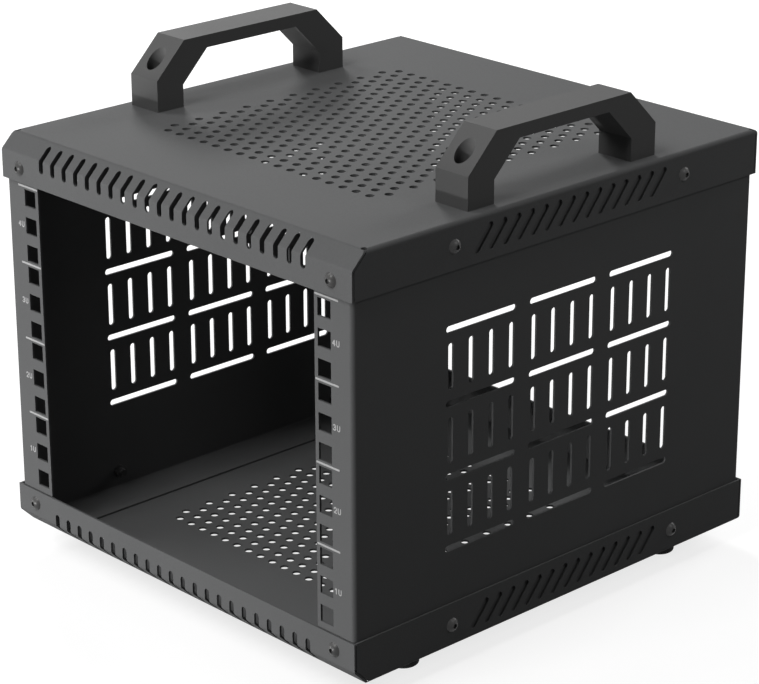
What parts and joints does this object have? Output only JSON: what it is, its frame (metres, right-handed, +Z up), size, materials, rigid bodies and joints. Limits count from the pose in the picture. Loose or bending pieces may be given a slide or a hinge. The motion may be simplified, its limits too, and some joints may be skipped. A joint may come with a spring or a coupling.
{
  "type": "open-frame rack",
  "caption": "Portable ten-inch open-frame desktop rack of folded black sheet steel, with square-hole rails, vented sides, perforated cover and tray, carrying handles and rubber feet.",
  "frame": {"origin": "middle of the footprint on the floor that the feet stand on", "axes": "+Z up, the open front with the rails faces -Y, +X to the right as seen from the front"},
  "size_m": [0.2844, 0.3044, 0.2815],
  "materials": {
    "powder_coat": "fine-textured matte black powder coat",
    "handle_plastic": "matte black",
    "foot_rubber": "matte black",
    "black_screw": "satin black oxide",
    "zinc_nut": "zinc plated"
  },
  "bodies": {
    "root": {"top_cover": "powder_coat", "bottom_tray": "powder_coat", "left_side_panel": "powder_coat", "right_side_panel": "powder_coat", "left_handle": "handle_plastic", "right_handle": "handle_plastic", "front_left_foot": "foot_rubber", "front_right_foot": "foot_rubber", "rear_left_foot": "foot_rubber", "rear_right_foot": "foot_rubber", "left_handle_screws": "black_screw", "right_handle_screws": "black_screw", "left_handle_nuts": "zinc_nut", "right_handle_nuts": "zinc_nut", "top_front_screws": "black_screw", "top_rear_screws": "black_screw", "top_left_screws": "black_screw", "top_right_screws": "black_screw", "bottom_front_screws": "black_screw", "bottom_rear_screws": "black_screw", "bottom_left_screws": "black_screw", "bottom_right_screws": "black_screw", "left_panel_nuts": "zinc_nut", "right_panel_nuts": "zinc_nut"}
  },
  "joints": []
}
